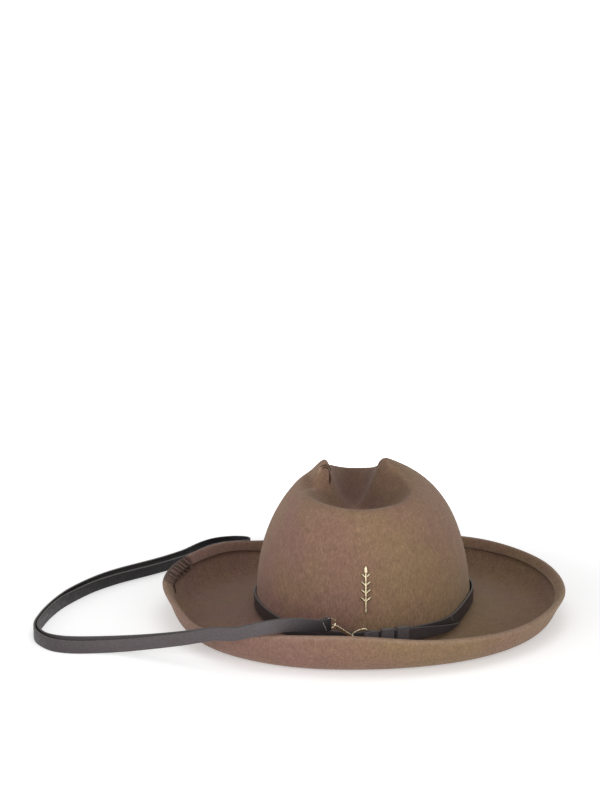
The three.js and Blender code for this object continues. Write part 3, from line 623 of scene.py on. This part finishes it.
def wire(name, points, radius, closed=False, sides=3):
    data = bpy.data.curves.new(name, "CURVE")
    data.dimensions = "3D"
    data.bevel_depth = radius
    data.bevel_resolution = sides
    data.use_fill_caps = not closed
    data.resolution_u = 6
    spline = data.splines.new("NURBS")
    spline.points.add(len(points) - 1)
    for spline_point, place in zip(spline.points, points):
        spline_point.co = (*place, 1)
    spline.use_cyclic_u = closed
    spline.order_u = 4
    spline.use_endpoint_u = not closed
    piece = bpy.data.objects.new(name, data)
    bpy.context.scene.collection.objects.link(piece)
    activate(piece)
    bpy.ops.object.convert(target="MESH")
    smooth(piece)
    return piece


# Felt
def select_vertices(piece, chosen):
    activate(piece)
    bpy.ops.object.mode_set(mode="EDIT")
    bpy.ops.mesh.select_mode(type="VERT")
    bpy.ops.mesh.select_all(action="DESELECT")
    bpy.ops.object.mode_set(mode="OBJECT")
    for vertex in piece.data.vertices:
        vertex.select = chosen(vertex)
    bpy.ops.object.mode_set(mode="EDIT")


# Share of the way from the hat's middle to an oval about it: 1 on the oval itself.
def oval_share(place, oval):
    return math.hypot(place.x / oval[0], place.y / oval[1])


def in_dent(place):
    x, y = place.x - DENT_MIDDLE[0], place.y - DENT_MIDDLE[1]
    within = (x / DENT_HALF[0]) ** 2 + (y / DENT_HALF[1]) ** 2 < 1
    return within and DENT_HEIGHTS[0] < place.z < DENT_HEIGHTS[1]


# The crease at the bottom of the dent is eased, as steamed felt is.
def soften_dent(felt, passes):
    select_vertices(felt, lambda vertex: in_dent(vertex.co))
    bpy.ops.mesh.vertices_smooth(factor=0.5, repeat=passes)
    bpy.ops.object.mode_set(mode="OBJECT")


# Distance from a line through points, and the share of the line's length at the nearest place.
def beside_line(place, line):
    nearest, share, walked = 1.0, 0.0, 0.0
    whole = sum((b - a).length for a, b in zip(line, line[1:]))
    for a, b in zip(line, line[1:]):
        along = b - a
        part = clamped((place - a).dot(along) / along.length_squared)
        gap = (place - a - along * part).length
        if gap < nearest:
            nearest, share = gap, (walked + part * along.length) / whole
        walked += along.length
    return nearest, share


# The slit in the felt: its faces are made finer beside the line, and the line is pressed in. It returns
# painted shade for the slit's inside.
def cut_slit(felt, line, facing):
    reach = SLIT_WIDTH * SLIT_REACH

    def beside(vertex):
        return vertex.normal.dot(facing) > SLIT_FACING and beside_line(vertex.co, line)[0] < reach

    select_vertices(felt, beside)
    bpy.ops.mesh.subdivide(number_cuts=SLIT_CUTS, smoothness=0.0)
    bpy.ops.object.mode_set(mode="OBJECT")
    places, normals = read_vectors(felt, "co"), read_vectors(felt, "normal")
    felt_painted_shade = [0.0] * len(places)
    for k, (place, normal) in enumerate(zip(places, normals)):
        if normal.dot(facing) < SLIT_FACING:
            continue
        gap, share = beside_line(place, line)
        if gap > reach:
            continue
        taper = math.sin(math.pi * min(max(share, SLIT_ENDS[0]), SLIT_ENDS[1])) ** 0.5
        press = SLIT_DEPTH * max(1 - (gap / SLIT_WIDTH) ** 2, 0) ** 1.5
        from_lip = (gap - SLIT_WIDTH * SLIT_LIP_PLACE) / SLIT_WIDTH
        lip = SLIT_DEPTH * SLIT_LIP * math.exp(-from_lip ** 2)
        places[k] = place + normal * (lip - press) * taper
        # Painted shade inside the slit, strongest along its line
        felt_painted_shade[k] = min(max(SLIT_SHADE_REACH - gap / SLIT_WIDTH, 0) * SLIT_SHADE, 1) * taper
    move_vertices(felt, places)
    return felt_painted_shade


# The crown's top takes its last form: a knob where the stitches pinch the felt, a hollow to its
# left, and low swells along both humps.
def pinch_humps(felt):
    places = read_vectors(felt, "co")
    for k, place in enumerate(places):
        over = clamped((place.z - HUMPS_LOW) / HUMPS_FADE)
        rise = 0.0
        for x, y, wide, long, height in HUMP_BUMPS:
            away = ((place.x - x) / wide) ** 2 + ((place.y - y) / long) ** 2
            rise += height * math.exp(-away)
        places[k] = place + UP * rise * over
    move_vertices(felt, places)


# Slight waves in the felt, with none beside the band or on the floor. Returns each vertex's new
# place and the way that it faced before.
def ripple_felt(felt):
    places, normals = read_vectors(felt, "co"), read_vectors(felt, "normal")
    for k, (place, normal) in enumerate(zip(places, normals)):
        ripple = noise.noise(place * RIPPLE_SCALE) * RIPPLE_HEIGHT
        off_band = min(abs(oval_share(place, BAND_OVAL) - 1) * RIPPLE_RISE_OFF_BAND, 1)
        off_floor = min(max(place.z - FELT_FLAT, 0) * RIPPLE_RISE_OFF_FLOOR, 1)
        places[k] = place + normal * ripple * off_band * off_floor
    move_vertices(felt, places)
    return places, normals


# Lighter felt along the flat, upward-facing top of the crown's near side: wear and a painted highlight.
def crest_wear_and_highlight(place, normal):
    if place.y >= CREST_BACK or place.z <= CREST_LOW:
        return 0.0
    beside_middle = clamped((CREST_HALF - abs(place.x - DENT_MIDDLE[0])) / CREST_FADE)
    return CREST_WEAR_AND_HIGHLIGHT * beside_middle * clamped((normal.z - CREST_FLAT) / CREST_FLAT_FADE)


# Painted shade in the dent's crease, more so to the back.
def valley_painted_shade(place):
    if not in_dent(place):
        return 0.0
    across = math.exp(-((place.x - VALLEY_X) / VALLEY_WIDTH) ** 2)
    valley = across * clamped(place.y / VALLEY_LENGTH + 0.2)
    return VALLEY_SHADE * valley


# Painted shade on the dent's right slope, where it faces left.
def slope_painted_shade(place, normal):
    if place.z <= SLOPE_LOW or abs(place.y) >= SLOPE_HALF:
        return 0.0
    right_slope = clamped(-normal.x * 2 - 0.2) * clamped((place.x - SLOPE_X) / SLOPE_FADE)
    return SLOPE_SHADE * right_slope


# Painted shade beneath the whip stitches, with soft ends.
def wrapped_painted_shade(place):
    share = oval_share(place, BRIM_OVAL)
    if share <= WRAPPED_FROM:
        return 0.0
    turn = math.atan2(place.y / BRIM_OVAL[1], place.x / BRIM_OVAL[0]) % (2 * math.pi)
    past_last = turn - WRAP_LAST - WRAP_SLANT * WRAPPED_SLANT
    before_first = WRAP_FIRST - turn + WRAPPED_SPARE
    foot = WRAPPED_FOOT_INSIDE if share < WRAPPED_OUTSIDE else WRAPPED_FOOT_OUTSIDE
    inside_ends = clamped(min(past_last, before_first) / WRAPPED_FADE)
    return WRAPPED_SHADE * inside_ends * clamped((place.z - foot) / WRAPPED_RISE)


def make_felt():
    felt = copy_of_node("felt_body", "felt_hat")
    soften_dent(felt, DENT_COARSE_PASSES)
    subdivide(felt, 2)
    soften_dent(felt, DENT_FINE_PASSES)
    pinch_humps(felt)
    surface = surface_of(felt)
    seen = [seen_on(surface, pixel) for pixel in CROWN_SLIT]
    felt_painted_shade = cut_slit(felt, [place for place, _ in seen], seen[1][1])
    places, normals = ripple_felt(felt)
    # Wear and a painted highlight on edges that stand out
    wear_and_highlight = standing_out(felt, FELT_EDGE)
    for k, (place, normal) in enumerate(zip(places, normals)):
        if in_dent(place):
            wear_and_highlight[k] = 0.0
        wear_and_highlight[k] = max(wear_and_highlight[k], crest_wear_and_highlight(place, normal))
        # Painted shade in the crease, on the right slope and under the whip stitches
        felt_painted_shade[k] = max(felt_painted_shade[k], valley_painted_shade(place), slope_painted_shade(place, normal), wrapped_painted_shade(place))
    write_attribute(felt, "wear_and_highlight", wear_and_highlight)
    write_attribute(felt, "felt_painted_shade", felt_painted_shade)
    smooth(felt)
    return settle(felt, felt_material(), ["felt_body"])


# Thread laid over a surface through places that the camera sees; its two ends go in.
def laid_thread(name, surface, pixels, radius, material):
    seen = [seen_on(surface, pixel) for pixel in pixels]
    spots = [seen[0]] + seen + [seen[-1]]
    lifts = [THREAD_SUNK] + [THREAD_LIFT] * len(seen) + [THREAD_SUNK]
    points = [place + facing * radius * lift for (place, facing), lift in zip(spots, lifts)]
    return settle(wire(name, points, radius), material)


# One whip stitch: from the brim's outer face over its edge and down its inner face to a hole.
def whip_stitch(name, surface, azimuth, hole_height, material):
    points = []
    count = WRAP_ROUND_POINTS + WRAP_DROP_POINTS
    for k in range(count):
        here = azimuth + WRAP_SLANT * (k / (count - 1))
        out = Vector((math.cos(here), math.sin(here), 0))
        rim, _, _, _ = surface.ray_cast(Vector((0, 0, RIM_HEIGHT)) + out * RIM_RAY, -out)
        centre = rim - out * ROLL_HALF
        centre.z = ROLL_HEIGHT
        if k < WRAP_ROUND_POINTS:
            turn = math.radians(WRAP_TURN_FROM + WRAP_TURN_SWEEP * k / (WRAP_ROUND_POINTS - 1))
            heading = out * math.cos(turn) + UP * math.sin(turn)
            start = centre + heading * ROLL_RAY
        else:
            heading = -out
            drop = (k - WRAP_ROUND_POINTS + 1) / WRAP_DROP_POINTS
            height = centre.z + (hole_height - centre.z) * drop
            start = Vector((centre.x, centre.y, height)) + heading * ROLL_RAY
        place, facing, _, _ = surface.ray_cast(start, -heading)
        lift = THREAD_SUNK if k in (0, count - 1) else WRAP_LIFT
        points.append(place + facing * WRAP_THREAD * lift)
    return settle(wire(name, points, WRAP_THREAD), material)


def make_whip_stitches(felt, material):
    surface = surface_of(felt)
    sway = random.Random(5)
    for k in range(WRAP_COUNT):
        azimuth = WRAP_FIRST + (WRAP_LAST - WRAP_FIRST) * k / (WRAP_COUNT - 1)
        azimuth += math.radians(sway.uniform(-WRAP_SWAY, WRAP_SWAY))
        hole_height = WRAP_HOLE_HEIGHT + sway.uniform(-WRAP_HOLE_SWAY, WRAP_HOLE_SWAY)
        whip_stitch(f"whip_stitch_{k + 1}", surface, azimuth, hole_height, material)


# Leather
def dressed_leather(node, name, slot, material, bevel, levels, **tones):
    piece = copy_of_node(node, name)
    limit = math.radians(35)
    apply_modifier(piece, "BEVEL", width=bevel, segments=2, limit_method="ANGLE", angle_limit=limit)
    subdivide(piece, levels)
    # Scuffs and a painted highlight on edges that stand out
    write_attribute(piece, "wear_and_highlight", standing_out(piece, LEATHER_EDGE))
    write_attribute(piece, "cut", [
        clamped(abs(vertex.normal.z) * 2 - 1) for vertex in piece.data.vertices
    ])
    for tone, value_at in tones.items():
        write_attribute(piece, tone, [value_at(vertex.co.x) for vertex in piece.data.vertices])
    smooth(piece, 40)
    return settle(piece, material, [node])


# Painted light on the tab: lightest beside the ring.
def tab_painted_light(x):
    near_ring = clamped((TAB_LIT_END - x) / TAB_LIT_FADE)
    return TAB_LIT_LEAST + (1 - TAB_LIT_LEAST) * near_ring


# Painted shade on the tab just before the first keeper and between the two keepers.
def make_closure():
    first, second = [[corner.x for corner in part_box(f"keeper_{number}")] for number in (1, 2)]
    gaps = [(first[0] - KEEPER_SHADE, first[0]), (first[1], second[0])]

    def tab_painted_shade(x):
        return max(1.0 if start < x < end else 0.0 for start, end in gaps)

    dressed_leather(
        "band_tab", "closure_tab", "band_leather", band_leather, TAB_BEVEL, 2,
        handled=tab_painted_light, hidden=tab_painted_shade,
    )
    for number in (1, 2):
        dressed_leather(
            f"keeper_{number}", f"leather_keeper_{number}", "band_leather", band_leather, TAB_BEVEL, 2,
            handled=lambda x: 1.0,
        )


# Centripetal curve through points of the strap's route, each with a lean.
def smooth_route(points, step):
    first = [2 * a - b for a, b in zip(points[0], points[1])]
    last = [2 * a - b for a, b in zip(points[-1], points[-2])]
    knots = [Vector(point) for point in ([first] + list(points) + [last])]
    out = []
    for k in range(1, len(knots) - 2):
        four = knots[k - 1:k + 3]
        marks = [0.0]
        for a, b in zip(four, four[1:]):
            marks.append(marks[-1] + math.sqrt(max((b - a).to_3d().length, 1e-9)))
        count = max(2, round((four[2] - four[1]).to_3d().length / step))
        for i in range(count):
            now = marks[1] + (marks[2] - marks[1]) * i / count
            row = list(four)
            for level in range(1, 4):
                row = [
                    row[j] * ((marks[j + level] - now) / (marks[j + level] - marks[j]))
                    + row[j + 1] * ((now - marks[j]) / (marks[j + level] - marks[j]))
                    for j in range(len(row) - 1)
                ]
            out.append(row[0])
    out.append(knots[-2])
    return out


def strap_line():
    heading = Vector((math.cos(STRAP_HEADING), math.sin(STRAP_HEADING), 0))
    side = UP.cross(heading)

    def beside_end(back, across):
        place = STRAP_END - heading * back + side * across * STRAP_BEND
        return (*place, 0)

    points = [beside_end(STRAP_FLAP, 0.5), beside_end(STRAP_FLAP / 2, 0.66)]
    for k in range(STRAP_BEND_POINTS):
        turn = math.pi * k / (STRAP_BEND_POINTS - 1)
        points.append(beside_end(-STRAP_BEND * math.sin(turn), math.cos(turn)))
    points.append(beside_end(STRAP_FLAP * 0.6, -0.75))
    bend = smooth_route(points, BEND_STEP)
    rest = smooth_route(points[-2:] + STRAP_ROUTE, ROUTE_STEP)
    start = len(smooth_route(points[-2:], ROUTE_STEP)) - 1
    return bend[:-1] + rest[start:]


# Cross-section of the strap: across, height, how much it is a cut edge.
def strap_outline():
    half, mid = STRAP_THICKNESS / 2, STRAP_WIDTH / 2
    quarter = [
        (-half, mid, 0),
        (-half, STRAP_EDGE, 0),
        (-half + STRAP_CORNER, STRAP_CORNER, 0.5),
        (-half + STRAP_EDGE, 0, 1),
    ]
    low = quarter + [(-across, height, edge) for across, height, edge in reversed(quarter)]
    return low + [(across, STRAP_WIDTH - height, edge) for across, height, edge in reversed(low[1:-1])]


# One place of the strap: the middle of its lower edge, the way up its width and the way through it.
def strap_stance(line, k):
    before, after = line[max(k - 1, 0)], line[min(k + 1, len(line) - 1)]
    heading = (after - before).to_3d()
    heading.z = 0
    heading.normalize()
    side = UP.cross(heading)
    if side.y > 0:
        side.negate()
    lean = math.radians(line[k][3])
    rise = UP * math.cos(lean) + side * math.sin(lean)
    thick = heading.cross(rise).normalized()
    foot = line[k].to_3d() + UP * (STRAP_THICKNESS / 2) * abs(math.sin(lean))
    return foot, rise, thick


# Painted light on the strap: lightest along its near part, darker at the ring and behind the hat.
def strap_painted_light(length, whole):
    nearest = min(length, whole - length)
    rising = LIT_LEAST + max(nearest - LIT_FROM, 0) / LIT_RISE
    falling = 1 - (nearest - LIT_TO) / LIT_FALL
    return clamped(min(rising, falling))


def make_strap(leather):
    line = strap_line()
    outline = strap_outline()
    count = len(outline)
    mesh = bpy.data.meshes.new("strap_loop")
    shape = bmesh.new()
    cut = shape.verts.layers.float.new("cut")
    uv = shape.loops.layers.uv.new("along")
    rings, centres, lengths = [], [], [0.0]
    for k, here in enumerate(line):
        foot, rise, thick = strap_stance(line, k)
        ring = []
        for across, height, edge in outline:
            vertex = shape.verts.new(foot + thick * across + rise * height)
            vertex[cut] = edge
            ring.append(vertex)
        if k:
            lengths.append(lengths[-1] + (here - line[k - 1]).to_3d().length)
        rings.append(ring)
        centres.append(foot + rise * STRAP_WIDTH / 2)
    for k in range(len(rings) - 1):
        for i in range(count):
            j = (i + 1) % count
            face = shape.faces.new((rings[k][i], rings[k][j], rings[k + 1][j], rings[k + 1][i]))
            corners = ((k, i), (k, i + 1), (k + 1, i + 1), (k + 1, i))
            for loop, (row, column) in zip(face.loops, corners):
                loop[uv].uv = (column / count, lengths[row])
    shape.faces.new(list(reversed(rings[0])))
    shape.faces.new(rings[-1])
    bmesh.ops.recalc_face_normals(shape, faces=shape.faces)
    shape.to_mesh(mesh)
    shape.free()
    strap = bpy.data.objects.new("strap_loop", mesh)
    bpy.context.scene.collection.objects.link(strap)
    handled = []
    # Painted light along the strap
    for length in lengths:
        handled += [strap_painted_light(length, lengths[-1])] * count
    write_attribute(strap, "handled", handled)
    smooth(strap, 50)
    settle(strap, leather, ["strap"])
    return strap, centres, lengths[-1]


# Brass: a ring with a round bow and a straight bar
def d_ring(name, node, centre, heading, half_height, reach, brass):
    points = []
    for k in range(15):
        turn = -math.pi / 2 + math.pi * k / 14
        points.append(bow_point(centre, heading, half_height, reach, turn))
    for k in range(1, 6):
        points.append(centre + UP * half_height * (1 - k / 3))
    ring = wire(name, points, RING_WIRE, closed=True, sides=4)
    return settle(ring, brass, [node])


def bow_point(centre, heading, half_height, reach, turn):
    return centre + heading * reach * math.cos(turn) + UP * half_height * math.sin(turn)


# The way that a ring's bow runs at a turn.
def bow_heading(form, turn):
    return bow_point(*form, turn + 0.1) - bow_point(*form, turn - 0.1)


# Two strands twisted round each other, with an eye at each end round a ring's wire.
def make_hook(near, near_side, far, far_side, brass):
    heading = (far - near).normalized()
    shift = HOOK_EYE_RADIUS - RING_WIRE - HOOK_STRAND - HOOK_PLAY
    parts = []
    starts = []
    for place, side, way in ((near, near_side, 1), (far, far_side, -1)):
        normal = (side - heading * side.dot(heading)).normalized()
        second = normal.cross(heading)
        centre = place + heading * shift * way
        eye = []
        for k in range(14):
            turn = 2 * math.pi * k / 14
            ring = heading * math.cos(turn) + second * math.sin(turn)
            eye.append(centre + ring * HOOK_EYE_RADIUS)
        parts.append(wire("eye", eye, HOOK_STRAND, closed=True, sides=3))
        starts.append(centre + heading * way * HOOK_EYE_RADIUS)
    start, end = starts
    first = heading.orthogonal().normalized()
    second = heading.cross(first)
    steps = HOOK_TWISTS * 8
    for phase in (0, math.pi):
        strand = []
        for k in range(steps + 1):
            turn = phase + 2 * math.pi * HOOK_TWISTS * k / steps
            across = first * math.cos(turn) + second * math.sin(turn)
            strand.append(start.lerp(end, k / steps) + across * HOOK_STRAND_OFFSET)
        parts.append(wire("strand", strand, HOOK_STRAND, sides=3))
    return settle(join("twisted_hook", parts), brass, ["hook"])


# A leaf with a raised midrib, lying in the XZ plane with its base at the origin and its tip up.
def model_leaf(length, width):
    bpy.ops.object.select_all(action="DESELECT")
    upright = (math.pi / 2, 0, 0)
    bpy.ops.mesh.primitive_grid_add(x_subdivisions=4, y_subdivisions=8, size=1, rotation=upright)
    leaf = bpy.context.object
    bpy.ops.object.transform_apply(location=True, rotation=True, scale=True)
    places = read_vectors(leaf, "co")
    for k, place in enumerate(places):
        share = place.z + 0.5
        outline = math.sin(math.pi * share ** 0.8) ** 0.75 if 0 < share < 1 else 0.0
        side = place.x * 2
        cup = -0.16 * side * side + (0.1 if abs(side) < 0.1 else 0.0)
        places[k] = Vector((
            place.x * width * (outline + 0.06),
            -width * cup * (outline + 0.1),
            length * share,
        ))
    move_vertices(leaf, places)
    apply_modifier(leaf, "SOLIDIFY", thickness=LEAF_THICKNESS, offset=0)
    subdivide(leaf, 1)
    return leaf


# A plain sprig: a stem that follows the crown's wall, leaves in pairs and one at its tip.
def make_pin(felt, brass):
    surface = surface_of(felt)
    low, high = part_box("crown_pin")
    middle = (low.x + high.x) / 2
    stem = []
    for k in range(PIN_STEM_POINTS):
        height = low.z + PIN_KNOB + (high.z - LEAF_LENGTH - low.z) * k / (PIN_STEM_POINTS - 1)
        place, facing, _, _ = surface.ray_cast(Vector((middle, PIN_RAY_FROM, height)), Vector((0, 1, 0)))
        stem.append(place + facing * PIN_STEM_LIFT)
    axis = (stem[-1] - stem[0]).normalized()
    side = Vector((1, 0, 0))
    out = side.cross(axis)
    frame_turn = Matrix((side, -out, axis)).transposed().to_4x4()
    parts = [wire("stem", stem, PIN_STEM, sides=4)]
    leaf = model_leaf(LEAF_LENGTH, LEAF_WIDTH)

    def placed(place, turn, size):
        copy = bpy.data.objects.new("leaf", leaf.data.copy())
        bpy.context.scene.collection.objects.link(copy)
        spin = Matrix.Rotation(turn, 4, "Y")
        copy.data.transform(Matrix.Translation(place) @ frame_turn @ spin @ Matrix.Scale(size, 4))
        return copy

    for k in range(PIN_PAIRS):
        share = LEAVES_FROM + LEAVES_SPAN * k / (PIN_PAIRS - 1)
        base = stem[0].lerp(stem[-1], share) + out * LEAF_LIFT
        for turn in (-LEAF_SPREAD, LEAF_SPREAD):
            size = LOWEST_LEAF_SIZE - LEAF_SIZE_LOSS * share
            parts.append(placed(base, math.radians(turn), size))
    parts.append(placed(stem[-1] - axis * PIN_STEM, 0, TOP_LEAF_SIZE))
    bpy.data.objects.remove(leaf)
    bpy.ops.object.select_all(action="DESELECT")
    bpy.ops.mesh.primitive_uv_sphere_add(segments=16, ring_count=10, radius=PIN_KNOB, location=stem[0])
    knob = bpy.context.object
    bpy.ops.object.transform_apply(location=True, rotation=True, scale=True)
    parts.append(knob)
    pin = join("leaf_pin", parts)
    smooth(pin, 50)
    return settle(pin, brass, ["crown_pin"])


camera = make_camera()
make_stage()
strap_leather = leather_material("strap leather", STRAP_DARK, STRAP_LIGHT, gloss=0.2)
band_leather = leather_material("band leather", BAND_DARK, BAND_LIGHT, gloss=0.6)
brass = brass_material("brass", BRASS_DULL, BRASS_BRIGHT)
dull_brass = brass_material("dull brass", PIN_DULL, PIN_BRIGHT)
thread = thread_material("brown thread", THREAD_BROWN)
dark_thread = thread_material("dark thread", THREAD_DARK)
pale_thread = thread_material("pale thread", THREAD_PALE)

strap_heading = Vector((math.cos(STRAP_HEADING), math.sin(STRAP_HEADING), 0))
strap_ring_centre = STRAP_END + UP * STRAP_WIDTH / 2
strap_ring_form = (strap_ring_centre, strap_heading, STRAP_RING_HALF_HEIGHT, STRAP_RING_REACH)
low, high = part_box("band_ring")
bar = Vector((high.x - RING_WIRE, high.y - RING_WIRE, (low.z + high.z) / 2))
bow = Vector((low.x + RING_WIRE, low.y + RING_WIRE, bar.z))
band_ring_form = (bar, (bow - bar).normalized(), (high.z - low.z) / 2 - RING_WIRE, (bow - bar).length)

strap, strap_centres, strap_length = make_strap(strap_leather)
strap_ring = d_ring("strap_d_ring", "strap_ring", *strap_ring_form, brass)
d_ring("closure_ring", "band_ring", *band_ring_form, brass)
hook = make_hook(
    bow_point(*strap_ring_form, HOOK_AT_STRAP_RING), bow_heading(strap_ring_form, HOOK_AT_STRAP_RING),
    bow_point(*band_ring_form, HOOK_AT_BAND_RING), bow_heading(band_ring_form, HOOK_AT_BAND_RING),
    brass,
)
strap_surface = surface_of(strap)
strap_threads = [
    laid_thread(
        f"strap_stitch_{k + 1}", strap_surface, pixels, STRAP_THREAD, pale_thread,
    )
    for k, pixels in enumerate(STRAP_STITCHES)
]

felt = make_felt()
make_whip_stitches(felt, thread)
felt_surface = surface_of(felt)
for k, pixels in enumerate(CROWN_STITCHES):
    laid_thread(f"crown_stitch_{k + 1}", felt_surface, pixels, CROWN_THREAD, dark_thread)
laid_thread("welt_stitch", felt_surface, WELT_STITCH, WELT_THREAD, dark_thread)
make_pin(felt, dull_brass)
band = dressed_leather("hat_band", "leather_band", "band_leather", band_leather, BAND_BEVEL, 1)
band_surface = surface_of(band)
for k, pixels in enumerate(BAND_STITCHES):
    laid_thread(f"band_stitch_{k + 1}", band_surface, pixels, BAND_THREAD, pale_thread)
make_closure()
